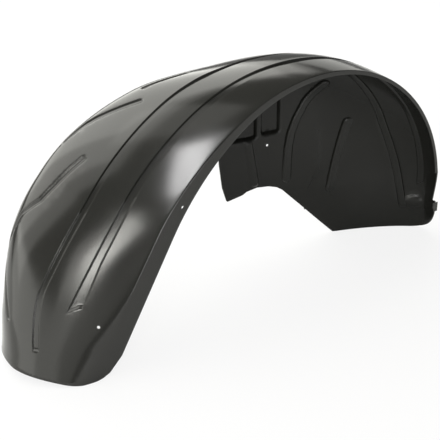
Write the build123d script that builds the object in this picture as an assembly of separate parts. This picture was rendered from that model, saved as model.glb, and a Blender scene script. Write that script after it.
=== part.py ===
from build123d import *
import math
import os

# Wheel arch liner, one moulded sheet. Millimetres, +Z up, front of the car to -X,
# outboard (fender) side to -Y. The rim circle is drawn about the axle line first.

# Rim path, seen from the side
RIM_RADIUS = 320.0
AXLE_HEIGHT = 110.0
ARC_END_DEG = 124.0
FRONT_RADIUS = 500.0
LEG_DEG = 150.0
LEG_LENGTH = 241.0
FLOOR_SLOPE = 0.028

# Sheet and inner wall
SHEET = 2.5
WALL_OFFSET = 184.0
WALL_TAPER = 0.19
LIP = 12.0

# Pressed grooves
GROOVE_DEPTH = 5.0
OUTER_GROOVE = (40.0, 62.0)
MIDDLE_GROOVE = (96.0, 110.0)
OUTER_GROOVE_END = -4.0
GROOVE_VEER = 24.0
FRONT_VEER = (20.0, -72.0)
REAR_VEER = (137.0, -60.0)
SHOULDER_GROOVE_WIDTH = 12.0
DIMPLE_RADIUS = 13.0
DIMPLE_AT = (58.0, -48.0)

# Inner wall, seen from the side: beads pressed in, pockets pressed out, and the trimmed edge
BEAD_WIDTH = 16.0
WALL_BEAD = [(62.0, 30.0), (69.0, 147.0), (128.0, 232.0)]
REAR_RIB = [(162.5, -13.0), (191.5, 143.0)]
EDGE_BEAD_WIDTH = 12.0
EDGE_BEAD = [(-9.0, 35.0), (-24.0, 130.0)]
POCKET_DEPTH = 8.0
LEFT_POCKET = (-78.0, -6.0, 136.0, 205.0)
RIGHT_POCKET = (4.0, 44.0, 140.0, 196.0)
HUMP = [(-27, 24), (-4, 28.5), (21, 26), (40, 20), (53, 11)]
FRONT_EDGE = [(-70, 11), (-80, 44), (-87, 99)]
STEP_LOW = (-36, 18.5)
REAR_BEND = (93, -30)
REAR_FOOT_X = 174

# Trimmed edges
FOOT_CORNER = 68.0
TOE_RELIEF = 20.0
FOOT_EDGE = 26.0
REAR_CORNER = 64.0
FIXING_RADIUS = 2.75

S_ARC = RIM_RADIUS * math.radians(ARC_END_DEG)
S_LEG = S_ARC + FRONT_RADIUS * math.radians(LEG_DEG - ARC_END_DEG)
S_FLOOR = S_LEG + LEG_LENGTH

# Cross sections along the rim path. Each row holds the place on the path, the height of
# the rim crease, the flange width, the crown height and its place inboard, the drop from
# crown to inner wall, and the roundness of the shoulder (2 is an ellipse).
SECTIONS = [
    (-1.90 * AXLE_HEIGHT, 1.0, 7.0, 8.0, 40.0, 220.0, 1.3),
    (-1.00 * AXLE_HEIGHT, 1.0, 7.0, 8.0, 40.0, 220.0, 1.3),
    (0.0, 1.0, 7.0, 10.0, 42.0, 222.0, 1.4),
    (0.232 * S_ARC, 1.0, 7.0, 4.0, 40.0, 172.0, 1.6),
    (0.465 * S_ARC, 2.0, 7.0, 3.0, 42.0, 123.0, 1.8),
    (0.726 * S_ARC, 6.0, 9.0, 19.5, 66.0, 100.0, 2.0),
    (0.913 * S_ARC, 16.0, 17.0, 51.0, 95.0, 105.0, 2.0),
    (S_ARC + 0.26 * (S_LEG - S_ARC), 25.0, 25.0, 106.0, 161.0, 112.0, 2.0),
    (S_ARC + 0.88 * (S_LEG - S_ARC), 31.0, 31.0, 154.0, 203.0, 113.0, 2.0),
    (S_LEG + 0.42 * LEG_LENGTH, 35.0, 35.0, 172.0, 193.0, 127.0, 2.0),
    (S_FLOOR, 45.0, 45.0, 152.0, 142.0, 168.0, 2.0),
    (S_FLOOR + 0.33 * LEG_LENGTH, 53.0, 53.0, 131.0, 108.0, 185.0, 2.0),
    (S_FLOOR + 0.75 * LEG_LENGTH, 60.0, 60.0, 116.0, 88.0, 185.0, 2.0),
]
RISE = 1.8

# Grooves across the shoulder, as places on the rim path and levels (0.5 is the crown)
FRONT_ARC = S_LEG - S_ARC
SHOULDER_GROOVES = [
    [(0.978 * S_ARC, 0.572), (S_ARC + 0.207 * FRONT_ARC, 0.52)],
    [(S_ARC + 0.297 * FRONT_ARC, 0.42), (S_ARC + 0.762 * FRONT_ARC, 0.552)],
    [(S_ARC + 0.782 * FRONT_ARC, 0.364), (S_LEG + 0.148 * LEG_LENGTH, 0.428),
     (S_LEG + 0.314 * LEG_LENGTH, 0.504), (S_LEG + 0.618 * LEG_LENGTH, 0.632),
     (S_LEG + 1.02 * LEG_LENGTH, 0.51)],
]

# The skin is drawn in strips from level to level, narrow enough to read as one curve
TREAD_STRIPS = 7
SHOULDER_STRIPS = 9
PLACES = 27


def path(s):
    # Point on the rim path and its outward direction, as x, z, nx, nz
    if s < 0:
        return RIM_RADIUS, s, 1.0, 0.0
    if s < S_ARC:
        a = s / RIM_RADIUS
        return RIM_RADIUS * math.cos(a), RIM_RADIUS * math.sin(a), math.cos(a), math.sin(a)
    a1 = math.radians(ARC_END_DEG)
    cx = (RIM_RADIUS - FRONT_RADIUS) * math.cos(a1)
    cz = (RIM_RADIUS - FRONT_RADIUS) * math.sin(a1)
    a = a1 + min(s - S_ARC, S_LEG - S_ARC) / FRONT_RADIUS
    nx, nz = math.cos(a), math.sin(a)
    run = max(0.0, s - S_LEG)
    return cx + FRONT_RADIUS * nx - run * nz, cz + FRONT_RADIUS * nz + run * nx, nx, nz


def floor_z(x):
    # The floor line, which the rim leans to by a degree or two until the last step
    return -AXLE_HEIGHT + FLOOR_SLOPE * (x - 0.53 * RIM_RADIUS)


def section(s, column):
    # Value of one column of SECTIONS at any place, by a smooth cubic through the rows
    rows = SECTIONS
    i = 0
    while i < len(rows) - 2 and s > rows[i + 1][0]:
        i += 1

    def slope(j):
        lo = max(j - 1, 0)
        hi = min(j + 1, len(rows) - 1)
        return (rows[hi][column] - rows[lo][column]) / (rows[hi][0] - rows[lo][0])

    span = rows[i + 1][0] - rows[i][0]
    t = (s - rows[i][0]) / span
    p0, p1 = rows[i][column], rows[i + 1][column]
    m0, m1 = slope(i) * span, slope(i + 1) * span
    a = 2 * t**3 - 3 * t**2 + 1
    b = t**3 - 2 * t**2 + t
    return a * p0 + b * m0 + (1 - a) * p1 + (t**3 - t**2) * m1


def wall_y(x):
    return WALL_OFFSET - WALL_TAPER * x


def height(s, y):
    # Tread height over the rim path at a place inboard, between the crease and the crown
    crown = section(s, 3)
    left = max(0.0, 1 - y / section(s, 4))
    return crown - (crown - section(s, 1)) * left**RISE


def sheet(s, v, depth):
    # Outer surface set in by depth: v = 0 at the rim crease, 0.5 at the crown, 1 at the wall
    x, z, nx, nz = path(s)
    crown, crown_y = section(s, 3), section(s, 4)
    if v <= 0.5:
        y = depth + (crown_y - depth) * v / 0.5
        steep = height(s, y + 0.5) - height(s, y - 0.5)
        climb = (height(s + 2, y) - height(s - 2, y)) / 4
        h = height(s, y) - depth * math.sqrt(1 + steep**2 + climb**2)
    else:
        climb = (section(s + 2, 3) - section(s - 2, 3)) / 4
        reach = wall_y(x + (crown - section(s, 5)) * nx) - crown_y
        drop = section(s, 5)
        bulge = 0.5**(1 / section(s, 6))
        slant = math.hypot(reach, drop)
        low_reach = reach - depth * math.sqrt(1 + WALL_TAPER**2)
        low_drop = drop - depth * math.sqrt(1 + climb**2)
        by_reach = (bulge * reach - depth * drop / slant) / low_reach
        by_drop = (bulge * drop - depth * reach / slant) / low_drop
        power = -2 * math.log2((by_reach + by_drop) / 2)
        a = (v - 0.5) * math.pi
        y = crown_y + low_reach * math.sin(a)**power
        h = crown - drop + low_drop * max(0.0, math.cos(a))**power
    return Vector(x + h * nx, y, z + h * nz)


def skin(s, v):
    return sheet(s, v, 0.0)


def outward(s, v):
    # Direction square to the outer surface, away from the wheel
    x, z, nx, nz = path(s)
    along = skin(s + 2, v) - skin(s - 2, v)
    across = skin(s, v + 0.01) - skin(s, v - 0.01)
    normal = along.cross(across).normalized()
    if normal.dot(Vector(nx, 0.3, nz)) < 0:
        normal = normal * -1
    return normal


LEVELS = [0.5 * i / TREAD_STRIPS for i in range(TREAD_STRIPS)]
LEVELS += [0.5 + 0.5 * i / SHOULDER_STRIPS for i in range(SHOULDER_STRIPS + 1)]


def plug(depth, extra):
    # Solid that fills the liner, set in by depth, running past the floor by extra
    low = SECTIONS[0][0] + 60 - extra
    high = S_FLOOR + 0.6 * LEG_LENGTH + extra
    marks = [i / (PLACES - 1) for i in range(PLACES)]
    places = [low + (high - low) * mark for mark in marks]
    wires = []
    for v in LEVELS:
        pts = [sheet(s, v, depth) for s in places]
        arch = Edge.make_spline(pts, parameters=marks)
        base = Edge.make_line(pts[-1], pts[0])
        wires.append(Wire([arch, base]))
    return Solid.make_loft(wires, ruled=True)


def block(x0, x1, y0, y1, z0, z1):
    size = (x1 - x0, y1 - y0, z1 - z0)
    return Pos((x0 + x1) / 2, (y0 + y1) / 2, (z0 + z1) / 2) * Box(*size)


def side_prism(points, y0, y1):
    # Outline in x, z drawn through along Y
    wire = Wire.make_polygon([Vector(x, y0, z) for x, z in points], close=True)
    return Solid.extrude(Face(wire), Vector(0, y1 - y0, 0))


def end_prism(points, x0, x1):
    # Outline in y, z drawn through along X
    wire = Wire.make_polygon([Vector(x0, y, z) for y, z in points], close=True)
    return Solid.extrude(Face(wire), Vector(x1 - x0, 0, 0))


def slot(start, end, width):
    # Bar over the skin between two places on it, for grooves that cross the shoulder
    a, b = skin(*start), skin(*end)
    n = outward((start[0] + end[0]) / 2, (start[1] + end[1]) / 2)
    run = (b - a).normalized()
    frame = Plane(origin=(a + b) * 0.5, x_dir=run, z_dir=n - run * n.dot(run))
    return frame * Box((b - a).length + width, width, 90)


def bead(line, width, grow):
    # Bar of even width along a line seen from the side, standing through the inner wall
    line = [Vector(x, 0, z) for x, z in line]
    ways = [(b - a).normalized() for a, b in zip(line, line[1:])]
    line[0] = line[0] - ways[0] * grow
    line[-1] = line[-1] + ways[-1] * grow
    near, far = [], []
    for i, p in enumerate(line):
        way = (ways[max(i - 1, 0)] + ways[min(i, len(ways) - 1)]).normalized()
        side = Vector(way.Z, 0, -way.X) * (width / 2 + grow) * (1 / way.dot(ways[min(i, len(ways) - 1)]))
        near.append(((p + side).X, (p + side).Z))
        far.append(((p - side).X, (p - side).Z))
    return side_prism(near + far[::-1], 110, 300)


def veered(veer, grow):
    # Outline of the middle groove, seen from the end, with its foot turned outboard
    m0, m1 = MIDDLE_GROOVE[0] - grow, MIDDLE_GROOVE[1] + grow
    bend, foot = veer[0], veer[1] - grow
    low0, low1 = m0 - GROOVE_VEER, m1 - GROOVE_VEER
    return [(m0, 700), (m0, bend), (low0, foot), (low1, foot), (m1, bend), (m1, 700)]


def grooves(grow):
    # All bars that mark where the sheet is pressed in, each widened by grow
    g0, g1 = OUTER_GROOVE[0] - grow, OUTER_GROOVE[1] + grow
    bars = [block(-800, 600, g0, g1, OUTER_GROOVE_END - grow, 700)]
    bars.append(end_prism(veered(FRONT_VEER, grow), -800, 0))
    bars.append(end_prism(veered(REAR_VEER, grow), 0, 600))
    for groove in SHOULDER_GROOVES:
        for start, end in zip(groove, groove[1:]):
            bars.append(slot(start, end, SHOULDER_GROOVE_WIDTH + 2 * grow))
    bars.append(bead(WALL_BEAD, BEAD_WIDTH, grow))
    bars.append(bead(REAR_RIB, BEAD_WIDTH, grow))
    bars.append(bead(EDGE_BEAD, EDGE_BEAD_WIDTH, grow))
    dimple = Pos(RIM_RADIUS, *DIMPLE_AT) * Rot(0, 90, 0) * Cylinder(DIMPLE_RADIUS + grow, 120)
    bars.append(dimple)
    return bars


def pockets(shrink):
    # Two shallow boxes pressed away from the wheel, in the upper part of the inner wall
    boxes = []
    for x0, x1, z0, z1 in (LEFT_POCKET, RIGHT_POCKET):
        far = wall_y((x0 + x1) / 2) + POCKET_DEPTH - shrink
        boxes.append(block(x0 + shrink, x1 - shrink, 120, far, z0 + shrink, z1))
    return boxes


# Sheet: outer solid less inner solid, with every groove pressed to an even thickness
below = [(-900, floor_z(-900)), (700, floor_z(700)), (700, -700), (-900, -700)]
floor_cut = side_prism(below, -200, 600)
outer = plug(0.0, 0.0) - floor_cut
groove_floor = plug(GROOVE_DEPTH, 20.0)
outer = outer - [bar - groove_floor for bar in grooves(0.0)]
outer = outer + pockets(0.0)
inner = plug(SHEET, 30.0)
inner_floor = plug(SHEET + GROOVE_DEPTH, 45.0)
inner = inner - [bar - inner_floor for bar in grooves(SHEET)]
inner = inner + pockets(SHEET)
liner = outer - inner

# Wheel opening on the outboard side: what is left of the side sheet is the rim flange
first = SECTIONS[0][0] + 20
last = S_FLOOR + 0.7 * LEG_LENGTH
rim = []
for i in range(31):
    s = first + (last - first) * i / 30
    x, z, nx, nz = path(s)
    h = section(s, 1) - section(s, 2)
    rim.append(Vector(x + h * nx, -30, z + h * nz))
rim_wire = Wire([Edge.make_spline(rim), Edge.make_line(rim[-1], rim[0])])
liner = liner - Solid.extrude(Face(rim_wire), Vector(0, 38, 0))

# Inner wall: open ahead of its front edge, cut in a hump over the hub, sloping to the rear foot
lip = []
for i in range(25):
    s = 0.90 * S_ARC + (S_FLOOR + 0.5 * LEG_LENGTH - 0.90 * S_ARC) * i / 24
    x, z, nx, nz = path(s)
    h = section(s, 3) - section(s, 5) - LIP
    if s > S_LEG:
        h = FOOT_EDGE + (h - FOOT_EDGE) * math.exp(-((s - S_LEG) / 60)**2)
    lip.append(Vector(x + h * nx, 90, z + h * nz))
hump = [Vector(x, 90, z) for x, z in HUMP]
front_low, front_mid, front_top = [Vector(x, 90, z) for x, z in FRONT_EDGE]
step_low = Vector(STEP_LOW[0], 90, STEP_LOW[1])
rear_bend = Vector(REAR_BEND[0], 90, REAR_BEND[1])
rear_low = Vector(REAR_FOOT_X, 90, -AXLE_HEIGHT - 4)
deep = Vector(REAR_FOOT_X, 90, -AXLE_HEIGHT - 300)
wall_edges = [
    Edge.make_line(front_low, front_mid),
    Edge.make_line(front_mid, front_top),
    Edge.make_line(front_top, lip[0]),
    Edge.make_spline(lip),
    Edge.make_line(lip[-1], deep),
    Edge.make_line(deep, rear_low),
    Edge.make_line(rear_low, rear_bend),
    Edge.make_line(rear_bend, hump[-1]),
    Edge.make_spline(list(reversed(hump))),
    Edge.make_line(hump[0], step_low),
    Edge.make_line(step_low, front_low),
]
liner = liner - Solid.extrude(Face(Wire(wall_edges)), Vector(0, 330, 0))

# Rounded corners: foot at the rim, and rear foot at the rim. Each round overshoots a little
# past the edges it joins.
heel_s = S_LEG
while path(heel_s)[1] > floor_z(path(heel_s)[0]):
    heel_s += 0.1
hx, hz, nx, nz = path(heel_s)
corner = Vector(hx, -20, hz)
lean = math.atan(FLOOR_SLOPE)
ahead = Vector(-math.cos(lean), 0, -math.sin(lean))
upward = Vector(nz, 0, -nx)
bisector = (ahead + upward).normalized()
half = ahead.get_angle(upward) / 2
centre = corner + bisector * (FOOT_CORNER / math.sin(math.radians(half)) - 0.8)
down = Vector(math.sin(lean), 0, -math.cos(lean))
wheelward = Vector(-nx, 0, -nz)
on_floor = centre + (down * math.cos(0.07) + ahead * math.sin(0.07)) * FOOT_CORNER
on_rim = centre + (wheelward * math.cos(0.07) + upward * math.sin(0.07)) * FOOT_CORNER
beyond = corner - bisector * 40
heel = Wire([
    Edge.make_three_point_arc(on_floor, centre - bisector * FOOT_CORNER, on_rim),
    Edge.make_line(on_rim, beyond),
    Edge.make_line(beyond, on_floor),
])
liner = liner - Solid.extrude(Face(heel), Vector(0, 34, 0))

ground = floor_z(RIM_RADIUS) - 1
k = REAR_CORNER * (1 - math.sqrt(0.5))
rear_flat = Vector(200, REAR_CORNER - 1, ground)
rear_mid = Vector(200, k - 1, ground + k)
rear_up = Vector(200, -1, ground + REAR_CORNER)
rear_away = Vector(200, -60, ground + REAR_CORNER)
rear_below = Vector(200, -60, ground - 40)
rear_under = Vector(200, REAR_CORNER - 1, ground - 40)
rear_round = Wire([
    Edge.make_three_point_arc(rear_flat, rear_mid, rear_up),
    Edge.make_line(rear_up, rear_away),
    Edge.make_line(rear_away, rear_below),
    Edge.make_line(rear_below, rear_under),
    Edge.make_line(rear_under, rear_flat),
])
liner = liner - Solid.extrude(Face(rear_round), Vector(300, 0, 0))

# Toe: the lower edge rises in a shallow arch between its two ends
toe = floor_z(-590)
toe_out = Vector(-800, -8, toe - 3)
toe_top = Vector(-800, 118, toe + TOE_RELIEF)
toe_in = Vector(-800, 244, toe - 3)
toe_arch = Wire([
    Edge.make_three_point_arc(toe_out, toe_top, toe_in),
    Edge.make_line(toe_in, toe_in - Vector(0, 0, 30)),
    Edge.make_line(toe_in - Vector(0, 0, 30), toe_out - Vector(0, 0, 30)),
    Edge.make_line(toe_out - Vector(0, 0, 30), toe_out),
])
liner = liner - Solid.extrude(Face(toe_arch), Vector(290, 0, 0))

# Rear rim end: a small notch, and a tab below it
liner = liner - block(RIM_RADIUS - 7, RIM_RADIUS + 30, -5, 5, -30, -12)
liner = liner + block(RIM_RADIUS - 5, RIM_RADIUS + 9, 0, SHEET, -50, -30)

# Fixing holes: rim flange, front foot and inner wall
fx, fz, fnx, fnz = path(S_ARC + 0.755 * (S_LEG - S_ARC))
flange_hole = (fx + 12 * fnx, 0, fz + 12 * fnz)
foot_s = S_LEG + 0.783 * LEG_LENGTH
wall_hole = (17, wall_y(17), 117)
fixings = [
    (flange_hole, (0, 1, 0)),
    (skin(foot_s, 0.05), outward(foot_s, 0.05)),
    (wall_hole, (WALL_TAPER, 1, 0)),
]
for place, axis in fixings:
    liner = liner - Plane(origin=place, z_dir=axis) * Cylinder(FIXING_RADIUS, 24)

# Stand it on the floor with the origin under the middle of its box
liner = Rot(0, math.degrees(math.atan(FLOOR_SLOPE)), 0) * liner
liner = liner.solids().sort_by(SortBy.VOLUME)[-1]
points = liner.tessellate(0.1)[0]
xs = [p.X for p in points]
ys = [p.Y for p in points]
zs = [p.Z for p in points]
shift = Vector(-(min(xs) + max(xs)) / 2, -(min(ys) + max(ys)) / 2, -min(zs))
liner = Pos(shift) * liner
print("axle line at", shift.X, shift.Y, shift.Z)
for place, axis in fixings:
    turn = Rot(0, math.degrees(math.atan(FLOOR_SLOPE)), 0)
    spot = (Pos(shift) * turn * Pos(Vector(*place))).position
    way = (turn * Pos(Vector(*axis))).position.normalized()
    print("fixing", spot, way)
print("size", max(xs) - min(xs), max(ys) - min(ys), max(zs) - min(zs))
print("volume", liner.volume, "valid", liner.is_valid, "solids", len(liner.solids()))

os.makedirs("parts", exist_ok=True)
export_step(liner, "parts/arch_liner.step")
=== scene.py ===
# %% [markdown]
# # A wheel arch liner
# The liner is one sheet of black plastic, heated and drawn over a form, that hangs inside a car's
# front wheel arch and keeps the wheel's spray off the body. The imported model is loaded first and
# fixes the size and the place of everything that follows.

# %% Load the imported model
import math
import bpy
import bmesh
from mathutils import Matrix, Vector


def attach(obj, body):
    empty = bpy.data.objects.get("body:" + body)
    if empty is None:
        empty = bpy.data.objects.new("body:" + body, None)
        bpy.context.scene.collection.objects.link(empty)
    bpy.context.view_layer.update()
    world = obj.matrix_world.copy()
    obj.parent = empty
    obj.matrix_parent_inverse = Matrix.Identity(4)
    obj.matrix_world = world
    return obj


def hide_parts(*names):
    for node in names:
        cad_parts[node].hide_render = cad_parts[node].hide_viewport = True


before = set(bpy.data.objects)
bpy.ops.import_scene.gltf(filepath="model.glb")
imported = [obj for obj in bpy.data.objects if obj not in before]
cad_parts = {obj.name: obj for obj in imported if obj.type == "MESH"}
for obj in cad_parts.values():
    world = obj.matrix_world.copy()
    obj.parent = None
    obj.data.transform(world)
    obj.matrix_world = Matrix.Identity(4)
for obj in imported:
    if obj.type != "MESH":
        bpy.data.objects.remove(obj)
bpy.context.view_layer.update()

# %% [markdown]
# ## The working frame
# The liner is easiest to describe about the wheel's axle, in millimetres, with the front of the car
# towards -X. The model leans the rim by a degree or two to stand on the floor, so one function turns
# a point from the axle's frame into the model's own frame, in metres.

# %% From the axle to the floor
MM = 0.001
AXLE_AT = Vector((139.758, -133.103, 114.704))
FLOOR_SLOPE = 0.028
LEAN = Matrix.Rotation(math.atan(FLOOR_SLOPE), 3, "Y")


def stand(point):
    return (LEAN @ Vector(point) + AXLE_AT) * MM


print("axle stands at", stand((0, 0, 0)))

# %% [markdown]
# ## The camera
# The photograph looks down on the liner from outboard and ahead, from about two metres, with a long
# lens. A camera can be aimed by hand or by a constraint; here it is given by its place and two angles
# in the axle's frame, because those were fitted to the photograph's perspective.

# %% Camera
PICTURE = 440.0
FOCAL_PIXELS = 1200.0
SENSOR = 36.0
FAR_CLIP = 50.0
CAMERA_AT = (-1348.0, -1497.0, 1094.0)
YAW = math.radians(36.69)
PITCH = math.radians(27.91)

flat = math.cos(PITCH)
forward = Vector((math.sin(YAW) * flat, math.cos(YAW) * flat, -math.sin(PITCH)))
rightward = Vector((math.cos(YAW), -math.sin(YAW), 0.0))
upward = rightward.cross(forward)
turn = Matrix((LEAN @ rightward, LEAN @ upward, LEAN @ -forward)).transposed()
eye = bpy.data.cameras.new("eye")
eye.sensor_width = SENSOR
eye.lens = FOCAL_PIXELS / PICTURE * SENSOR
eye.clip_end = FAR_CLIP
camera = bpy.data.objects.new("eye", eye)
camera.matrix_world = Matrix.Translation(stand(CAMERA_AT)) @ turn.to_4x4()
bpy.context.scene.collection.objects.link(camera)
bpy.context.scene.camera = camera
print("camera at", camera.matrix_world.translation, "lens", eye.lens)

# %% [markdown]
# ## The rim path
# Seen from the side, the liner's outer edge is a rim: a circle about the axle that opens through a
# wider arc into a straight front leg. It could be drawn as a curve object, but everything else is
# measured from it, so it is a function: a length along the rim gives a point and the direction that
# leads away from it.

# %% Rim path
RIM_RADIUS = 320.0
AXLE_HEIGHT = 110.0
FLOOR_PIVOT = 0.53 * RIM_RADIUS
ARC_END = math.radians(124.0)
FRONT_RADIUS = 500.0
LEG_ANGLE = math.radians(150.0)
LEG = 241.0
S_ARC = RIM_RADIUS * ARC_END
FRONT_ARC = FRONT_RADIUS * (LEG_ANGLE - ARC_END)
S_LEG = S_ARC + FRONT_ARC
S_FLOOR = S_LEG + LEG


def floor_z(x):
    return -AXLE_HEIGHT + FLOOR_SLOPE * (x - FLOOR_PIVOT)


def path(s):
    if s < 0:
        return RIM_RADIUS, s, 1.0, 0.0
    if s < S_ARC:
        a = s / RIM_RADIUS
        return RIM_RADIUS * math.cos(a), RIM_RADIUS * math.sin(a), math.cos(a), math.sin(a)
    cx = (RIM_RADIUS - FRONT_RADIUS) * math.cos(ARC_END)
    cz = (RIM_RADIUS - FRONT_RADIUS) * math.sin(ARC_END)
    a = ARC_END + min(s - S_ARC, S_LEG - S_ARC) / FRONT_RADIUS
    nx, nz = math.cos(a), math.sin(a)
    run = max(0.0, s - S_LEG)
    return cx + FRONT_RADIUS * nx - run * nz, cz + FRONT_RADIUS * nz + run * nx, nx, nz


print("rim path runs", round(S_FLOOR + AXLE_HEIGHT), "mm from floor to floor")

# %% [markdown]
# ## The cross sections
# At each place on the rim the sheet has a cross section: a flange, a crease, a tread that rises to
# its crown, and a shoulder that turns round into the flat inner wall. The sections could be drawn
# one by one and bridged. Here a short list gives their measures, and smooth cubics join the rows, as
# on a loft, so any place between two sections is known exactly.

# %% Cross sections
# place on the rim, crease height, flange width, crown height, crown inboard, drop, roundness
SECTIONS = [
    (-1.90 * AXLE_HEIGHT, 1.0, 7.0, 8.0, 40.0, 220.0, 1.3),
    (-1.00 * AXLE_HEIGHT, 1.0, 7.0, 8.0, 40.0, 220.0, 1.3),
    (0.0, 1.0, 7.0, 10.0, 42.0, 222.0, 1.4),
    (0.232 * S_ARC, 1.0, 7.0, 4.0, 40.0, 172.0, 1.6),
    (0.465 * S_ARC, 2.0, 7.0, 3.0, 42.0, 123.0, 1.8),
    (0.726 * S_ARC, 6.0, 9.0, 19.5, 66.0, 100.0, 2.0),
    (0.913 * S_ARC, 12.0, 13.0, 51.0, 95.0, 105.0, 2.0),
    (S_ARC + 0.26 * (S_LEG - S_ARC), 19.0, 19.0, 106.0, 161.0, 112.0, 2.0),
    (S_ARC + 0.88 * (S_LEG - S_ARC), 31.0, 31.0, 154.0, 203.0, 113.0, 2.0),
    (S_LEG + 0.42 * LEG, 35.0, 35.0, 172.0, 193.0, 127.0, 2.0),
    (S_FLOOR, 45.0, 45.0, 152.0, 142.0, 168.0, 2.0),
    (S_FLOOR + 0.33 * LEG, 53.0, 53.0, 131.0, 108.0, 185.0, 2.0),
    (S_FLOOR + 0.75 * LEG, 60.0, 60.0, 116.0, 88.0, 185.0, 2.0),
]
CREASE, FLANGE, CROWN, CROWN_Y, DROP, ROUND = 1, 2, 3, 4, 5, 6


def slope(i, column):
    lo = SECTIONS[max(i - 1, 0)]
    hi = SECTIONS[min(i + 1, len(SECTIONS) - 1)]
    return (hi[column] - lo[column]) / (hi[0] - lo[0])


def section(s, column):
    i = 0
    while i < len(SECTIONS) - 2 and s > SECTIONS[i + 1][0]:
        i += 1
    span = SECTIONS[i + 1][0] - SECTIONS[i][0]
    t = (s - SECTIONS[i][0]) / span
    start, end = SECTIONS[i][column], SECTIONS[i + 1][column]
    a = 2 * t**3 - 3 * t**2 + 1
    b = (t**3 - 2 * t**2 + t) * span * slope(i, column)
    c = (t**3 - t**2) * span * slope(i + 1, column)
    return a * start + b + (1 - a) * end + c


print("crown stands", round(section(S_LEG, CROWN)), "mm above the rim where the leg begins")

# %% A point on the skin
RISE = 1.8
WALL_OFFSET = 184.0
WALL_TAPER = 0.19


def wall_y(x):
    return WALL_OFFSET - WALL_TAPER * x


def skin(s, v):
    # v runs from 0 at the crease to 0.5 at the crown and 1 where the shoulder meets the wall
    x, z, nx, nz = path(s)
    crown, crown_y = section(s, CROWN), section(s, CROWN_Y)
    if v <= 0.5:
        f = v / 0.5
        y = crown_y * f
        h = crown - (crown - section(s, CREASE)) * (1 - f)**RISE
    else:
        a = (v - 0.5) * math.pi
        drop, power = section(s, DROP), 2 / section(s, ROUND)
        reach = wall_y(x + (crown - drop) * nx) - crown_y
        y = crown_y + reach * math.sin(a)**power
        h = crown - drop * (1 - max(0.0, math.cos(a))**power)
    return Vector((x + h * nx, y, z + h * nz))


print("crown at the top", skin(0.5 * S_ARC, 0.5))

# %% [markdown]
# ## Where the sheet ends
# A drawn sheet is trimmed after it cools. The trim lines are the floor, a shallow arch under the
# toe, the round heel, the round rear corner, the slanting rear edge, the hump over the hub and a
# narrow lip along the front leg. A boolean could cut them, but often leaves ragged faces. Instead
# each column of the sheet is followed along the rim until it reaches its trim line, so the mesh ends
# exactly there and needs no cutting.

# %% Trim lines
LIP = 12.0
LIP_FADE = 60.0
FOOT_EDGE = 26.0
REAR_LOW = Vector((174.0, -114.0))
REAR_BEND = Vector((93.0, -30.0))
# rim place and the wall's edge point reached from it, from the rear to the front
WALL_EDGE = [
    (-45.56, 108.0, -45.56), (0.0, 93.0, -30.0), (70.0, 66.0, -2.5), (110.0, 53.0, 11.0),
    (150.0, 40.0, 20.0), (200.0, 21.0, 26.0), (260.0, -4.0, 28.5), (330.0, -27.0, 24.0),
    (370.0, -36.0, 18.5), (440.0, -70.0, 11.0), (500.0, -80.0, 44.0), (550.0, -87.0, 99.0),
    (0.90 * S_ARC, -93.5, 236.0),
]


def lip_height(s):
    h = section(s, CROWN) - section(s, DROP) - LIP
    if s > S_LEG:
        h = FOOT_EDGE + (h - FOOT_EDGE) * math.exp(-((s - S_LEG) / LIP_FADE)**2)
    return h


def edge_level(s):
    # the level across the section at which the sheet ends, or 1 where the wall or a lip follows
    fall = (section(s, CROWN) - lip_height(s)) / section(s, DROP)
    return 0.5 + math.acos(max(0.0, 1 - fall)**(section(s, ROUND) / 2)) / math.pi


def wall_edge(s):
    if s >= WALL_EDGE[-1][0]:
        x, z, nx, nz = path(s)
        h = min(lip_height(s), section(s, CROWN) - section(s, DROP))
        return Vector((x + h * nx, wall_y(x + h * nx), z + h * nz))
    i = 0
    while i < len(WALL_EDGE) - 2 and s > WALL_EDGE[i + 1][0]:
        i += 1
    s0, x0, z0 = WALL_EDGE[i]
    s1, x1, z1 = WALL_EDGE[i + 1]
    t = max(0.0, (s - s0) / (s1 - s0))
    x = x0 + (x1 - x0) * t
    return Vector((x, wall_y(x), z0 + (z1 - z0) * t))


print("foot sheet ends at level", round(edge_level(S_FLOOR), 3))

# %% [markdown]
# ## The long grooves
# Grooves stiffen a thin sheet, and two long ones run along this tread. They could be cut by extruding
# strips of faces inwards. Here each one is described by how far a point lies inside or outside its
# outline, and the sheet later sinks by a smooth step across that edge. On the wheel's side the same
# grooves stand out as ribs, because the sheet is even in thickness.

# %% Outlines of the long grooves
OUTER_GROOVE = (46.5, 56.5)
OUTER_END = -7.0
OUTER_END_SLANT = 8.0
SPREAD = -4.0
SPREAD_TOP = 70.0
SPREAD_OVER = 60.0
MIDDLE_GROOVE = (96.0, 104.0)
MIDDLE_END_FRONT = -72.0
MIDDLE_END_REAR = -60.0
VEER = -27.0
VEER_POWER = 1.4
# the height where the middle groove starts to lean, and the height over which it does
VEER_FRONT = (20.0, 92.0)
VEER_REAR = (137.0, 197.0)


def clamp(value, low, high):
    return max(low, min(high, value))


def straight(p):
    return 0.0


def spread(p):
    # how far the outer groove's rim side leans out as it comes down the leg
    return SPREAD * clamp((SPREAD_TOP - p.z) / SPREAD_OVER, 0, 1) if p.x < 0 else 0.0


def veer(p):
    # how far the middle groove leans towards the rim as it comes down
    top, fall = VEER_FRONT if p.x < 0 else VEER_REAR
    return VEER * clamp((top - p.z) / fall, 0, 1)**VEER_POWER


def outer_groove(p):
    # distance to the groove's sides and to its end
    low, high = OUTER_GROOVE
    end = OUTER_END + OUTER_END_SLANT * clamp((high - p.y) / (high - low), 0, 1)
    return max(low + spread(p) - p.y, p.y - high), end - p.z


def middle_groove(p):
    low, high = MIDDLE_GROOVE
    y = p.y - veer(p)
    end = MIDDLE_END_FRONT if p.x < 0 else MIDDLE_END_REAR
    return max(low - y, y - high), end - p.z


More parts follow.
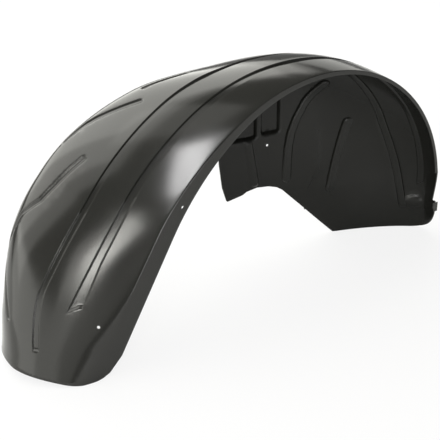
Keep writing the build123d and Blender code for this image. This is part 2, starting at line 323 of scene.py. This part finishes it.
print("outer groove is", OUTER_GROOVE[1] - OUTER_GROOVE[0], "mm wide")

# %% [markdown]
# ## Columns that follow the grooves
# A groove's edge stays crisp only if the mesh has lines of points along it. An even grid would cross
# the grooves at a slant and give them ragged sides. So the columns of the sheet aren't spread evenly:
# some of them run along both edges of both long grooves, and the rest share the spaces between.

# %% Columns across the tread
SOFT_EDGE = 1.8
HALF_EDGE = SOFT_EDGE / 2
SUPPORT = 0.7
EDGE_COLUMNS = 3
SHOULDER_COLUMNS = 24
# each groove side the columns follow, how it leans, and how many columns lead up to it
SIDES = [
    (OUTER_GROOVE[0], spread, 9), (OUTER_GROOVE[1], straight, 3),
    (MIDDLE_GROOVE[0], veer, 7), (MIDDLE_GROOVE[1], veer, 2),
]
STOPS = []
for side, lean, before in SIDES:
    STOPS += [
        (side - HALF_EDGE - SUPPORT, lean, before), (side - HALF_EDGE, lean, 1),
        (side + HALF_EDGE, lean, EDGE_COLUMNS), (side + HALF_EDGE + SUPPORT, lean, 1)]
TREAD_COLUMNS = sum(count for target, lean, count in STOPS) + SHOULDER_COLUMNS
print("tread has", TREAD_COLUMNS, "columns")

# %% Levels of the columns
TABLE_START = -160.0
TABLE_STEP = 2.0
TABLE_END = S_FLOOR + 0.7 * LEG
LEVEL_HALVINGS = 20
CROWDING = 1.5


def find_level(s, target, lean):
    low, high = 0.0, 1.0
    for halving in range(LEVEL_HALVINGS):
        middle = (low + high) / 2
        p = skin(s, middle)
        if p.y - lean(p) < target:
            low = middle
        else:
            high = middle
    return low


level_table = []
place = TABLE_START
while place < TABLE_END:
    level_table.append([find_level(place, target, lean) for target, lean, count in STOPS])
    place += TABLE_STEP


def stop_levels(s):
    # a place past the table takes a row just short of its last one
    row = clamp((s - TABLE_START) / TABLE_STEP, 0, len(level_table) - 1.001)
    i, t = int(row), row - int(row)
    return [a + (b - a) * t for a, b in zip(level_table[i], level_table[i + 1])]


def tread_level(s, w, last):
    # the columns crowd towards the crease, where the first stop's stretch begins
    column, start = w * TREAD_COLUMNS, 0.0
    for level, (target, lean, count) in zip(stop_levels(s), STOPS):
        if column <= count:
            share = column / count
            return start + (level - start) * (share**CROWDING if start == 0 else share)
        column -= count
        start = level
    return start + (last - start) * column / SHOULDER_COLUMNS


print("level table has", len(level_table), "rows")

# %% [markdown]
# ## A crease that fades out
# The crease beside the flange is sharp over the wheel and melts into a wide round at the toe. A plain
# bevel has one width along its whole edge. So the two sides are blended by a quadratic curve whose
# width grows down the leg, and each point moves from the sharp form to that curve.

# %% The crease and the whole sheet
CREASE_FADE = (S_LEG + 90.0, S_FLOOR - 10.0)
TOE_ROUND = 34.0
FADE_POWER = 1.4
STRIP = 0.012
STRIP_FADE = 0.05


def grade(s):
    # how steeply the tread leaves the crease
    return RISE * (section(s, CROWN) - section(s, CREASE)) / section(s, CROWN_Y)


def round_crease(s, point, u):
    # u is the way from the crease, less than nothing on the flange
    start, end = CREASE_FADE
    half = TOE_ROUND * clamp((s - start) / (end - start), 0, 1)**FADE_POWER
    if abs(u) >= half:
        return point
    x, z, nx, nz = path(s)
    inboard, outward = 1 / math.hypot(1, grade(s)), grade(s) / math.hypot(1, grade(s))
    t = (u + half) / (2 * half)
    y = (half * t**2 - max(u, 0)) * inboard
    h = (half * t**2 - max(u, 0)) * outward - half * (1 - t)**2 - min(u, 0)
    return point + Vector((h * nx, y, h * nz))


def sheet_point(s, w):
    # w runs from -1 at the rim's edge to 0 at the crease, 1 at the wall's bend and 2 at its edge
    if w < 0:
        x, z, nx, nz = path(s)
        u = w * section(s, FLANGE)
        h = section(s, CREASE) + u
        return round_crease(s, Vector((x + h * nx, 0.0, z + h * nz)), u)
    level = edge_level(s)
    strip = STRIP * min(1.0, (1 - level) / STRIP_FADE)
    if w <= 1:
        point = skin(s, tread_level(s, w, level - strip))
        return round_crease(s, point, point.y * math.hypot(1, grade(s)))
    if level < 1:
        return skin(s, level - strip * (2 - w))
    return skin(s, 1.0).lerp(wall_edge(s), w - 1)


print("crease at the top", sheet_point(0.5 * S_ARC, 0.0))

# %% [markdown]
# ## Round corners at the floor
# The liner stands on a foot with a round heel and a slightly arched toe, and its rear corner is round
# too. The corners could be bevelled afterwards, but the columns would not follow them. Each trim line
# is a test that says whether a point lies beyond it, and halving finds where a column crosses it.

# %% Round heel and toe
FOOT_CORNER = 68.0
FLANGE_SIDE = 14.0
HEEL_STEP = 0.1
TOE_RELIEF = 20.0
TOE_X = -590.0
TOE_Z = floor_z(TOE_X)
TOE_AHEAD = -510.0
ARCH_MIDDLE = 118.0
ARCH_HALF = 126.0
ARCH_SINK = 3.0

heel_s = S_LEG
while path(heel_s)[1] > floor_z(path(heel_s)[0]):
    heel_s += HEEL_STEP
heel_x, heel_z, heel_nx, heel_nz = path(heel_s)
heel = Vector((heel_x, heel_z))
ahead = Vector((-1.0, -FLOOR_SLOPE)).normalized()
along_rim = Vector((heel_nz, -heel_nx))
heel_half = math.acos(ahead.dot(along_rim)) / 2
heel_centre = heel + (ahead + along_rim).normalized() * FOOT_CORNER / math.sin(heel_half)
heel_reach = FOOT_CORNER / math.tan(heel_half)
arch_rise = TOE_RELIEF + ARCH_SINK
arch_radius = (ARCH_HALF**2 + arch_rise**2) / (2 * arch_rise)


def below_front(p):
    if p.z < floor_z(p.x):
        return True
    offset = p.y - ARCH_MIDDLE
    if p.x < TOE_AHEAD and abs(offset) < ARCH_HALF:
        rise = TOE_RELIEF - arch_radius + math.sqrt(arch_radius**2 - offset**2)
        if p.z < TOE_Z + rise:
            return True
    side = Vector((p.x, p.z))
    near = (side - heel).dot(ahead) < heel_reach and (side - heel).dot(along_rim) < heel_reach
    return p.y < FLANGE_SIDE and near and (side - heel_centre).length > FOOT_CORNER


print("heel's round is centred at", heel_centre)

# %% Round rear corner
REAR_CORNER = 64.0
REAR_LIMIT = -140.0
TRIM_HALVINGS = 24


def below_rear(p):
    ground = floor_z(p.x)
    if p.y < REAR_CORNER:
        ground += REAR_CORNER - math.sqrt(REAR_CORNER**2 - (REAR_CORNER - p.y)**2)
    fall, run = REAR_LOW.y - REAR_BEND.y, REAR_LOW.x - REAR_BEND.x
    slant = REAR_BEND.y + fall * (p.x - REAR_BEND.x) / run
    return p.z < ground or (p.x < REAR_LOW.x and p.z < slant)


def trim(w, inside, outside, beyond):
    for halving in range(TRIM_HALVINGS):
        middle = (inside + outside) / 2
        if beyond(sheet_point(middle, w)):
            outside = middle
        else:
            inside = middle
    return inside


print("rim's rear end is at place", trim(-1, 0, REAR_LIMIT, below_rear))

# %% [markdown]
# ## Shoulder grooves
# Three grooves cross the shoulder at a slant, and the lowest one has bends. A curve could be projected
# onto the surface; here their corners are given as places along the rim and levels across it, so the
# lines lie on the skin by themselves, and a point's distance to a line says how deep the sheet sinks.

# %% Shoulder grooves
SHOULDER_WIDTH = 8.0
SHOULDER_DEPTH = 3.4
SHOULDER_EDGE = 3.6
SHOULDER_X = -150.0
SHOULDER_Y = 110.0
LINE_STEPS = 6
FAR_AWAY = 1e9
# each groove as places on the rim path and levels across it
SHOULDER_GROOVES = [
    [(0.978 * S_ARC, 0.572), (S_ARC + 0.207 * FRONT_ARC, 0.52)],
    [(S_ARC + 0.297 * FRONT_ARC, 0.42), (S_ARC + 0.762 * FRONT_ARC, 0.552)],
    [(S_ARC + 0.782 * FRONT_ARC, 0.364), (S_LEG + 0.148 * LEG, 0.428), (S_LEG + 0.314 * LEG, 0.504),
     (S_LEG + 0.618 * LEG, 0.632), (S_LEG + 1.02 * LEG, 0.51)],
]


def groove_line(places):
    line = []
    for (s0, v0), (s1, v1) in zip(places, places[1:]):
        for i in range(LINE_STEPS):
            line.append(skin(s0 + (s1 - s0) * i / LINE_STEPS, v0 + (v1 - v0) * i / LINE_STEPS))
    return line + [skin(*places[-1])]


SHOULDER_LINES = [groove_line(places) for places in SHOULDER_GROOVES]


def away(p, line):
    nearest = FAR_AWAY
    for start, end in zip(line, line[1:]):
        run = end - start
        t = clamp((p - start).dot(run) / run.length_squared, 0, 1)
        nearest = min(nearest, (p - start - run * t).length)
    return nearest


def on_shoulder(p):
    return p.x < SHOULDER_X and p.y > SHOULDER_Y


def shoulder_grooves(p):
    return min(away(p, line) for line in SHOULDER_LINES) - SHOULDER_WIDTH / 2


print("shoulder grooves", [len(line) for line in SHOULDER_LINES], "points")

# %% [markdown]
# ## Beads and pockets
# The inner wall is large and flat, so two beads, a rib towards the rear and two shallow pockets
# stiffen it. They could be modelled one by one and joined on. Here a line or a box in the side view
# gives each outline, because the wall is seen almost square on there, and a bead may be deeper on one
# side than on the other.

# %% Outlines on the inner wall
BEAD_DEPTH = 5.5
BEAD_EDGE = 4.0
WALL_BEAD = [(62, 36), (62.5, 70), (64, 105), (69, 135), (80, 163), (98, 194), (128, 232)]
REAR_RIB = [(163, -6), (191, 138)]
EDGE_BEAD = [(-9, 40), (-24, 126)]
POCKET_DEPTH = 8.0
POCKET_EDGE = 7.0
POCKET_CORNER = 8.0
POCKETS = [(-78, -6, 136, 230), (4, 44, 140, 215)]
# line, width, share of the depth, its tilt to the sides, soft edge, and where it lies in x and y
BEADS = [
    (REAR_RIB, 17.0, 0.5, 0.5, BEAD_EDGE, (40.0, 400.0), 100.0),
    (WALL_BEAD, 16.0, 0.7, 0.3, BEAD_EDGE, (40.0, 150.0), 130.0),
    (EDGE_BEAD, 13.0, 0.5, 0.0, POCKET_EDGE, (-60.0, 40.0), 150.0),
]


def bead(p, line, width):
    # distance to the bead's outline, and the place across it from -1 on the left to 1 on the right
    nearest, side = FAR_AWAY, 0.0
    for (x0, z0), (x1, z1) in zip(line, line[1:]):
        dx, dz = x1 - x0, z1 - z0
        t = clamp(((p.x - x0) * dx + (p.z - z0) * dz) / (dx * dx + dz * dz), 0, 1)
        ox, oz = p.x - x0 - t * dx, p.z - z0 - t * dz
        if math.hypot(ox, oz) < nearest:
            nearest = math.hypot(ox, oz)
            side = (ox * dz - oz * dx) / math.hypot(dx, dz) / (width / 2)
    return nearest - width / 2, clamp(side, -1, 1)


def pocket(p, box):
    x0, x1, z0, z1 = box
    dx = abs(p.x - (x0 + x1) / 2) - (x1 - x0) / 2 + POCKET_CORNER
    dz = abs(p.z - (z0 + z1) / 2) - (z1 - z0) / 2 + POCKET_CORNER
    return math.hypot(max(dx, 0), max(dz, 0)) + min(max(dx, dz), 0) - POCKET_CORNER


print(len(BEADS), "beads and ribs,", len(POCKETS), "pockets")

# %% [markdown]
# ## How deep the sheet is pressed
# All the pressed forms meet in one function, with a dimple low on the rear of the tread that is
# outlined as seen from behind. For any point it gives the depth towards the wheel, and also the
# distance to the nearest edge of a form, which later tells where the mesh has to be fine.

# %% Depth of the pressing
LEG_DEPTH = 2.6
TOP_DEPTH = 4.2
DEEPEN_FROM = 80.0
DEEPEN_OVER = 140.0
END_EDGE = 7.0
# how far inboard the long grooves are looked for, ahead of the axle and behind it
REACH_AHEAD = 125.0
REACH_BEHIND = 135.0
DIMPLE_AT = (58.0, -48.0)
DIMPLE_RADIUS = 13.0
DIMPLE_SHARE = 0.8
DIMPLE_EDGE = 14.0
DIMPLE_X = 250.0
POCKET_X = (-120.0, 80.0)
POCKET_Y = 100.0
NO_EDGE = 99.0


def step(distance, width):
    t = clamp(0.5 - distance / width, 0, 1)
    return t * t * (3 - 2 * t)


def groove_depth(p):
    # the long grooves are deeper over the wheel than on the leg
    return LEG_DEPTH + (TOP_DEPTH - LEG_DEPTH) * clamp((p.z - DEEPEN_FROM) / DEEPEN_OVER, 0, 1)


def long_grooves(p):
    depth, nearest = 0.0, NO_EDGE
    if p.y < (REACH_BEHIND if p.x > 0 else REACH_AHEAD):
        for sides, end in (outer_groove(p), middle_groove(p)):
            depth = max(depth, groove_depth(p) * step(sides, SOFT_EDGE) * step(end, END_EDGE))
            if sides < SOFT_EDGE:
                nearest = min(nearest, abs(end))
    return depth, nearest


def wall_forms(p):
    forms = []
    for line, width, share, tilt, soft, (x0, x1), y0 in BEADS:
        if x0 < p.x < x1 and p.y > y0:
            far, side = bead(p, line, width)
            forms.append((far, BEAD_DEPTH * (share - tilt * side), soft))
    if p.x > DIMPLE_X:
        far = math.hypot(p.y - DIMPLE_AT[0], p.z - DIMPLE_AT[1]) - DIMPLE_RADIUS
        forms.append((far, BEAD_DEPTH * DIMPLE_SHARE, DIMPLE_EDGE))
    return forms


def pressed(p):
    # depth towards the wheel in millimetres, and the distance to the nearest edge of a form
    depth, nearest = long_grooves(p)
    if on_shoulder(p):
        far = shoulder_grooves(p)
        depth = max(depth, SHOULDER_DEPTH * step(far, SHOULDER_EDGE))
        nearest = min(nearest, max(far, 0.0))
    for far, deep, soft in wall_forms(p):
        depth = max(depth, deep * step(far, soft))
        nearest = min(nearest, abs(far))
    # the pockets are pressed the other way, away from the wheel
    if POCKET_X[0] < p.x < POCKET_X[1] and p.y > POCKET_Y:
        for box in POCKETS:
            far = pocket(p, box)
            depth -= POCKET_DEPTH * step(far, POCKET_EDGE)
            nearest = min(nearest, abs(far))
    return depth, nearest


print("depth in the outer groove", pressed(Vector((-300, 50, 200)))[0])

# %% [markdown]
# ## Holes and the rear notch
# Three small holes take the push rivets that fix the liner, and the rear end of the rim has a slanting
# notch. Booleans could cut them, but a hole is hardly larger than one of the sheet's cells. So the
# mesh is made finer around the cuts, and the cells inside each outline are taken away.

# %% Outlines of the holes and the notch
HOLE = 2.75
FLANGE_HOLE_UP = 12.0
WALL_HOLE_X = 17.0
WALL_HOLE_Z = 117.0
NOTCH_LOW, NOTCH_HIGH = -30.0, 40.0
NOTCH_REACH = 13.0
NOTCH_X = RIM_RADIUS - 20.0
hole_x, hole_z, hole_nx, hole_nz = path(S_ARC + 0.755 * FRONT_ARC)
HOLES = [
    Vector((hole_x + FLANGE_HOLE_UP * hole_nx, 0, hole_z + FLANGE_HOLE_UP * hole_nz)),
    skin(S_LEG + 0.783 * LEG, 0.05),
    Vector((WALL_HOLE_X, wall_y(WALL_HOLE_X), WALL_HOLE_Z)),
]


def cut(p):
    # distance to the nearest cut edge, less than nothing where the sheet is cut away
    holes = min((p - hole).length for hole in HOLES) - HOLE
    slant = NOTCH_REACH * (NOTCH_HIGH - p.z) / (NOTCH_HIGH - NOTCH_LOW)
    notch = max(p.y - slant, NOTCH_LOW - p.z, p.z - NOTCH_HIGH, NOTCH_X - p.x)
    return min(holes, notch)


print("holes at", HOLES)

# %% [markdown]
# ## The flat blank
# A vacuum former starts from a flat sheet, and so does this mesh: a plain grid, one row for each place
# along the rim and one column for each level across it. Near the edges of the pressed forms its cells
# are split up to three times while it is still flat, so the mesh is fine where the form is sharp and
# light where it is smooth.

# %% Rows and columns of the blank
REAR_JOIN = 120.0
FRONT_JOIN = S_LEG + 20.0
FRONT_LIMIT = S_FLOOR + 0.6 * LEG
REAR_ROWS = 24
MIDDLE_ROWS = 106
FRONT_ROWS = 40
ROWS = REAR_ROWS + MIDDLE_ROWS + FRONT_ROWS
FLANGE_COLUMNS = 7
WALL_COLUMNS = 20
COLUMNS = FLANGE_COLUMNS + TREAD_COLUMNS + WALL_COLUMNS


def across(column):
    if column < FLANGE_COLUMNS:
        return -(1 - column / FLANGE_COLUMNS)**CROWDING
    if column < FLANGE_COLUMNS + TREAD_COLUMNS:
        return (column - FLANGE_COLUMNS) / TREAD_COLUMNS
    return 1 + (column - FLANGE_COLUMNS - TREAD_COLUMNS) / WALL_COLUMNS


column_ends = {}


def ends(w):
    key = round(w, 5)
    if key not in column_ends:
        rear = trim(w, REAR_JOIN, REAR_LIMIT, below_rear) if w <= 1 else WALL_EDGE[0][0]
        column_ends[key] = (rear, trim(w, FRONT_JOIN, FRONT_LIMIT, below_front))
    return column_ends[key]


def along(row, w):
    rear, front = ends(w)
    if row < REAR_ROWS:
        return rear + (REAR_JOIN - rear) * row / REAR_ROWS
    if row < REAR_ROWS + MIDDLE_ROWS:
        return REAR_JOIN + (FRONT_JOIN - REAR_JOIN) * (row - REAR_ROWS) / MIDDLE_ROWS
    return FRONT_JOIN + (front - FRONT_JOIN) * (row - REAR_ROWS - MIDDLE_ROWS) / FRONT_ROWS


def drawn(co):
    w = across(co.y)
    return sheet_point(along(co.x, w), w)


print("blank is", ROWS, "rows by", COLUMNS, "columns")

# %% Grid with fine cells near the edges
SPLIT_REACH = (6.5, 3.8, 2.0)

blank = bmesh.new()
bmesh.ops.create_grid(blank, x_segments=ROWS, y_segments=COLUMNS, size=0.5)
bmesh.ops.translate(blank, verts=blank.verts, vec=(0.5, 0.5, 0))
bmesh.ops.scale(blank, verts=blank.verts, vec=(ROWS, COLUMNS, 1))
for reach in SPLIT_REACH:
    near = []
    for face in blank.faces:
        spot = drawn(face.calc_center_median())
        if pressed(spot)[1] < reach or abs(cut(spot)) < reach / 2:
            near.append(face)
    edges = list({e for f in near for e in f.edges})
    bmesh.ops.subdivide_edges(blank, edges=edges, cuts=1, use_grid_fill=True)
print("blank has", len(blank.verts), "points")

# %% [markdown]
# ## Drawn over the form
# Now every corner of the blank moves to its place on the smooth form, and then sinks along its own
# normal by the depth of what is pressed there. Two moves are easier to check than one, and the
# normals of the smooth form are clean, which those of the pressed one wouldn't be.

# %% Drawn over the form
INSIDE = (0, 100, 0)

shape = {vert: drawn(vert.co) for vert in blank.verts}
for vert, point in shape.items():
    vert.co = stand(point)
blank.normal_update()
outward = sum(vert.normal.dot(vert.co - stand(INSIDE)) for vert in shape)
if outward < 0:
    bmesh.ops.reverse_faces(blank, faces=blank.faces)
    blank.normal_update()
sink = {vert: vert.normal * pressed(point)[0] * MM for vert, point in shape.items()}
for vert, move in sink.items():
    vert.co -= move
print("deepest press", max(move.length for move in sink.values()) / MM, "mm")

# %% [markdown]
# ## Softened, then cut
# Heated plastic never takes a perfectly sharp edge, so the crease and the sides of the shoulder
# grooves are smoothed a little. The holes and the notch are cut last, as on the real sheet, and the
# points round each hole are set on a true circle.

# %% Soft crease and shoulder grooves
CREASE_SIDE = 2.5
CREASE_PASSES = 2
SHOULDER_PASSES = 3


def soften(verts, passes):
    for smoothing in range(passes):
        bmesh.ops.smooth_vert(
            blank, verts=verts, factor=0.5, use_axis_x=True, use_axis_y=True, use_axis_z=True)


crease = []
shoulder = []
for vert, point in shape.items():
    if vert.is_boundary:
        continue
    if abs(point.y) < CREASE_SIDE:
        crease.append(vert)
    if on_shoulder(point) and abs(shoulder_grooves(point)) < SHOULDER_EDGE:
        shoulder.append(vert)
soften(crease, CREASE_PASSES)
soften(shoulder, SHOULDER_PASSES)
print("softened", len(crease), "points of the crease and", len(shoulder), "of the shoulder grooves")

# %% Holes and notch cut out
HOLE_SNAP = 0.006
MERGE = 0.0001

gone = []
for face in blank.faces:
    spot = sum((shape[v] for v in face.verts), Vector()) / len(face.verts)
    if cut(spot) < 0:
        gone.append(face)
bmesh.ops.delete(blank, geom=gone, context="FACES")
for hole in HOLES:
    centre = stand(hole)
    for vert in blank.verts:
        reach = (vert.co - centre).length
        if vert.is_boundary and reach < HOLE_SNAP:
            vert.co = centre + (vert.co - centre) * (HOLE * MM / reach)
bmesh.ops.remove_doubles(blank, verts=blank.verts, dist=MERGE)
bmesh.ops.dissolve_degenerate(blank, edges=blank.edges, dist=MERGE / 2)
print("sheet has", len(blank.faces), "faces,", len(gone), "cut away")

# %% [markdown]
# ## Thickness
# The sheet is 2.5 mm thick. A Solidify modifier would do, but here the faces are extruded and the
# copy is moved inwards along its normals, so the wheel's side is known and can take a duller finish
# with painted shade.
# The trimmed edges are then rounded by a narrow bevel, and a small tab is set below the notch.

# %% Thickness
SHEET = 0.0025
CROWDED = 0.012

blank.normal_update()
made = bmesh.ops.extrude_face_region(blank, geom=blank.faces[:])
inner = {g for g in made["geom"] if isinstance(g, bmesh.types.BMVert)}
corner_x, corner_z = WALL_EDGE[0][1:]
wall_corner = stand((corner_x, wall_y(corner_x), corner_z))
wall_normal = LEAN @ Vector((WALL_TAPER, 1.0, 0.0)).normalized()
for vert in inner:
    # the wall's columns run together at its rear corner, where only the wall's own normal is sure
    crowded = (vert.co - wall_corner).length < CROWDED
    vert.co -= (wall_normal if crowded else vert.normal) * SHEET
for face in blank.faces:
    # faces of the wheel's side take the second finish: its darker colour and weaker reflection are
    # painted shade
    face.material_index = 1 if all(v in inner for v in face.verts) else 0
if blank.calc_volume(signed=True) < 0:
    bmesh.ops.reverse_faces(blank, faces=blank.faces)
for vert in blank.verts:
    vert.co.z = max(vert.co.z, 0.0)
print("wheel's side has", len(inner), "points")

# %% Rounded edges and tab
EDGE_ROUND = 0.0007
TAB_AT = (RIM_RADIUS + 2, 1.25, -40)
TAB_SIZE = (0.010, 0.0019, 0.020, 1)

rim_edges = set()
for face in blank.faces:
    if sum(v in inner for v in face.verts) == 2:
        for edge in face.edges:
            if sum(v in inner for v in edge.verts) != 1:
                rim_edges.add(edge)
bmesh.ops.bevel(
    blank, geom=list(rim_edges), offset=EDGE_ROUND, offset_type="OFFSET", segments=2, profile=0.5,
    affect="EDGES", clamp_overlap=True, material=-1)
tab_place = Matrix.Translation(stand(TAB_AT)) @ LEAN.to_4x4()
bmesh.ops.create_cube(blank, size=1.0, matrix=tab_place @ Matrix.Diagonal(TAB_SIZE))
bmesh.ops.triangulate(blank, faces=[f for f in blank.faces if len(f.verts) > 4])
print("rounded", len(rim_edges), "edges")

# %% The piece
SHARP = math.radians(50)

liner_mesh = bpy.data.meshes.new("arch_liner_sheet")
blank.to_mesh(liner_mesh)
blank.free()
liner_mesh.shade_smooth()
liner_mesh.set_sharp_from_angle(angle=SHARP)
liner = bpy.data.objects.new("arch_liner_sheet", liner_mesh)
bpy.context.scene.collection.objects.link(liner)
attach(liner, "root")
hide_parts("arch_liner")
print("liner triangles", sum(len(p.vertices) - 2 for p in liner_mesh.polygons))

# %% [markdown]
# ## Shader helpers
# A finish is a small network of nodes. It could be wired by hand in the shader editor. Two helpers
# keep it readable as code: one adds any node from its type, settings and sockets, the other lets sums
# on node values be written as plain arithmetic.

# %% Wire and Finish


class Wire:
    def __init__(self, finish, socket):
        self.finish = finish
        self.socket = socket

    def maths(self, operation, first, second):
        return self.finish.node("ShaderNodeMath", {"operation": operation}, {0: first, 1: second})

    def __add__(self, other):
        return self.maths("ADD", self, other)

    def __radd__(self, other):
        return self.maths("ADD", other, self)

    def __mul__(self, other):
        return self.maths("MULTIPLY", self, other)

    def __rmul__(self, other):
        return self.maths("MULTIPLY", other, self)


class Finish:
    def __init__(self, name):
        self.material = bpy.data.materials.new(name)
        self.material.use_nodes = True
        self.tree = self.material.node_tree
        self.shader = self.tree.nodes["Principled BSDF"]

    def node(self, kind, settings, sockets, out=0):
        made = self.tree.nodes.new(kind)
        for key, value in settings.items():
            setattr(made, key, value)
        for key, value in sockets.items():
            if isinstance(value, Wire):
                self.tree.links.new(value.socket, made.inputs[key])
            else:
                made.inputs[key].default_value = value
        return Wire(self, made.outputs[out])

    def feed(self, name, wire):
        self.tree.links.new(wire.socket, self.shader.inputs[name])

    def fix(self, name, value):
        self.shader.inputs[name].default_value = value


print("helpers", Wire.__name__, "and", Finish.__name__)

# %% [markdown]
# ## Black moulded plastic
# The sheet is black right through, with a faint warm cast. Its outside has a satin skin: a fine grain,
# a slightly uneven gloss, and cloudy marks where the sheet stretched. The wheel's side is duller, and
# its darker colour and weaker reflection are painted shade for the inside of the arch. One function
# makes both finishes, because they differ only in a few values.

# %% Plastic finish
CLOUD_SCALE = 9.0
GRAIN_SCALE = 900.0
CLOUD_GLOSS = 0.06
GRAIN_GLOSS = 0.02
GRAIN_DISTANCE = 0.0004


def black_plastic(name, dark, light, gloss, grain_height, mirror):
    finish = Finish(name)
    place = finish.node("ShaderNodeTexCoord", {}, {}, "Object")
    cloud = finish.node("ShaderNodeTexNoise", {}, {"Vector": place, "Scale": CLOUD_SCALE, "Detail": 4.0})
    grain = finish.node("ShaderNodeTexNoise", {}, {"Vector": place, "Scale": GRAIN_SCALE, "Detail": 2.0})
    colour = finish.node("ShaderNodeMix", {"data_type": "RGBA"}, {0: cloud, 6: dark, 7: light}, 2)
    finish.feed("Base Color", colour)
    finish.feed("Roughness", gloss + CLOUD_GLOSS * cloud + GRAIN_GLOSS * grain)
    height = {"Height": grain, "Strength": grain_height, "Distance": GRAIN_DISTANCE}
    finish.feed("Normal", finish.node("ShaderNodeBump", {}, height))
    finish.fix("Specular IOR Level", mirror)
    liner_mesh.materials.append(finish.material)
    print("finish", name)


black_plastic(
    "satin_black_plastic", (0.0095, 0.0095, 0.0080, 1.0), (0.0140, 0.0140, 0.0120, 1.0),
    0.11, 0.03, 0.5)
# the wheel's side: its duller gloss is the finish, while its darker colour and weaker reflection are
# painted shade
black_plastic(
    "matt_black_plastic_painted_shade", (0.0080, 0.0082, 0.0068, 1.0), (0.0130, 0.0132, 0.0112, 1.0),
    0.20, 0.05, 0.28)

# %% [markdown]
# ## The floor
# The photograph was taken on white. A large plain sheet of paper fills the background: the camera sees
# it almost white, and a little of that white goes into the reflections, while the rest of the paper
# is an ordinary pale surface that keeps the liner's shadow.

# %% Floor
FLOOR_HALF = 9.0
PAPER = (0.50, 0.50, 0.50, 1.0)
WHITE = (1.0, 1.0, 1.0, 1.0)
SEEN_WHITE = 0.85
MIRRORED_WHITE = 0.2

floor_bm = bmesh.new()
bmesh.ops.create_grid(floor_bm, x_segments=1, y_segments=1, size=FLOOR_HALF)
floor_mesh = bpy.data.meshes.new("floor")
floor_bm.to_mesh(floor_mesh)
floor_bm.free()
floor = bpy.data.objects.new("floor", floor_mesh)
bpy.context.scene.collection.objects.link(floor)
paper = Finish("floor_paper")
paper.fix("Base Color", PAPER)
paper.fix("Roughness", 0.9)
seen = paper.node("ShaderNodeLightPath", {}, {}, "Is Camera Ray")
shine = paper.node("ShaderNodeLightPath", {}, {}, "Is Glossy Ray")
through = paper.node("ShaderNodeLightPath", {}, {}, "Is Transmission Ray")
glow = paper.node("ShaderNodeEmission", {}, {"Color": WHITE, "Strength": 1.0})
share = SEEN_WHITE * seen + MIRRORED_WHITE * (shine + through)
plain = Wire(paper, paper.shader.outputs[0])
both = paper.node("ShaderNodeMixShader", {}, {0: share, 1: plain, 2: glow})
paper.tree.links.new(both.socket, paper.tree.nodes["Material Output"].inputs["Surface"])
floor_mesh.materials.append(paper.material)
print("floor is", 2 * FLOOR_HALF, "m wide")

# %% [markdown]
# ## The lights
# Glossy black plastic shows little colour of its own: what we see is the room in it. A broad light in
# three nested sizes stands on the far side and above, low lights stand ahead, to the rear and on the
# near side, and a smaller one hangs high in front. Two window-like pairs on the camera's side, one
# high and one low, make the streaks on the tread, and a dimmer box behind each pair lets its streak
# fade out. Each light is placed by two angles about the liner, which is easier to tune than a place.

# %% Lights
AIM = Vector((-0.05, 0.0, 0.25))
WARM = (1.0, 0.995, 0.94)
PLAIN = (1.0, 1.0, 1.0)
ROOM_LIGHT = 0.25
# name, azimuth, elevation, distance, width, height, radiance, colour
LIGHTS = [
    ("broad_light_a", 92, 50, 2.40, 3.3, 3.3, 1.7, WARM),
    ("broad_light_b", 105, 50, 2.44, 5.4, 3.7, 1.6, WARM),
    ("broad_light_c", 112, 50, 2.48, 7.0, 4.2, 1.4, WARM),
    ("front_low_a", 166, 5, 2.60, 3.00, 0.92, 0.95, WARM),
    ("front_low_b", 178, 5, 2.63, 4.40, 0.92, 0.85, WARM),
    ("front_low_c", -173, 5, 2.66, 5.30, 0.92, 0.55, WARM),
    ("front_top", -150, 69, 2.4, 1.7, 0.9, 1.0, WARM),
    ("rear_low", 22, 22, 2.6, 1.6, 1.2, 1.3, WARM),
    ("side_low", -95, 0, 2.6, 1.6, 0.40, 5.5, PLAIN),
    ("window_high_left", -126.6, 40.3, 2.6, 0.20, 1.00, 13.0, PLAIN),
    ("window_high_right", -119.6, 40.3, 2.6, 0.26, 1.00, 14.0, PLAIN),
    ("window_high_glow", -120.5, 38, 2.7, 0.75, 1.60, 2.6, PLAIN),
    ("window_low_a", -142.9, 18.9, 2.84, 0.34, 0.16, 13.0, WARM),
    ("window_low_b", -140.0, 15.6, 2.84, 0.28, 0.18, 18.0, WARM),
    ("window_low_glow", -144.5, 19.0, 2.9, 0.75, 0.48, 2.6, WARM),
]


def softbox(name, azimuth, elevation, distance, width, height, radiance, colour):
    lamp = bpy.data.lights.new(name, "AREA")
    lamp.shape = "RECTANGLE"
    lamp.size = width
    lamp.size_y = height
    lamp.energy = radiance * math.pi * width * height
    lamp.color = colour
    box = bpy.data.objects.new(name, lamp)
    a, e = math.radians(azimuth), math.radians(elevation)
    bearing = Vector((math.cos(e) * math.cos(a), math.cos(e) * math.sin(a), math.sin(e)))
    box.location = AIM + bearing * distance
    box.rotation_euler = bearing.to_track_quat("Z", "Y").to_euler()
    box.visible_camera = False
    bpy.context.scene.collection.objects.link(box)
    print(name, "power", round(lamp.energy, 1))


for light in LIGHTS:
    softbox(*light)
room = bpy.data.worlds.new("room")
room.use_nodes = True
background = room.node_tree.nodes["Background"]
background.inputs["Color"].default_value = WHITE
background.inputs["Strength"].default_value = ROOM_LIGHT
bpy.context.scene.world = room
bpy.context.scene.view_settings.view_transform = "Standard"
